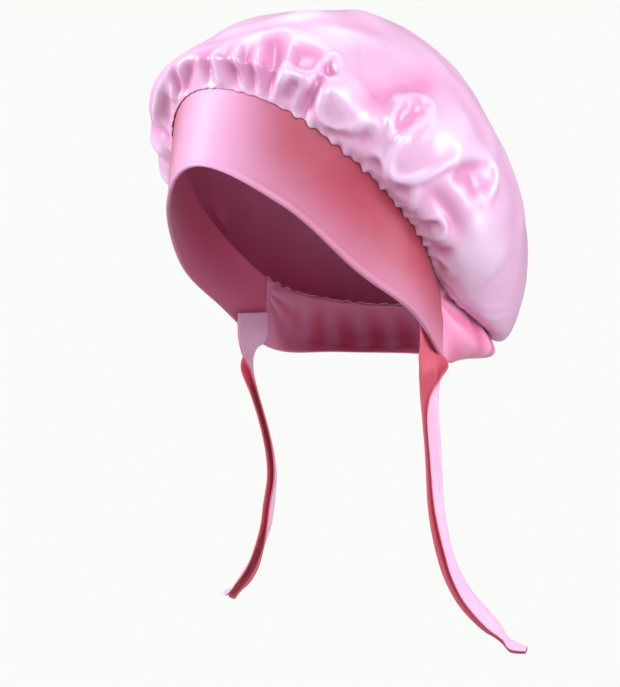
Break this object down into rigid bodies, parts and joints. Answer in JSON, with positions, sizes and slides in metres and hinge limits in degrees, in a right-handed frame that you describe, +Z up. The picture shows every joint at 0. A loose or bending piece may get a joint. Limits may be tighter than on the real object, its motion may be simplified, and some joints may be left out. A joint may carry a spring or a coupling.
{
  "type": "satin sleep bonnet with a wide band and two ties",
  "caption": "Soft satin sleep bonnet: a puffed crown gathered on to a wide band, a loose pleated nape piece and ties hanging from the band ends.",
  "frame": {"origin": "centre line of the head, in the head opening, level with the lower edge of the band over the ears", "axes": "+Z up through the crown, -Y to the front, +X to the wearer's left"},
  "size_m": [0.2536, 0.2446, 0.3757],
  "materials": {
    "crown_satin": "glossy pink satin, fine weave",
    "band_cloth": "soft matte pink satin, dull side out",
    "tie_cloth": "soft pink satin, folded lengthwise"
  },
  "bodies": {
    "root": {"crown": "crown_satin", "band": "band_cloth", "nape_piece": "band_cloth", "tie_left": "tie_cloth", "tie_right": "tie_cloth"}
  },
  "joints": []
}
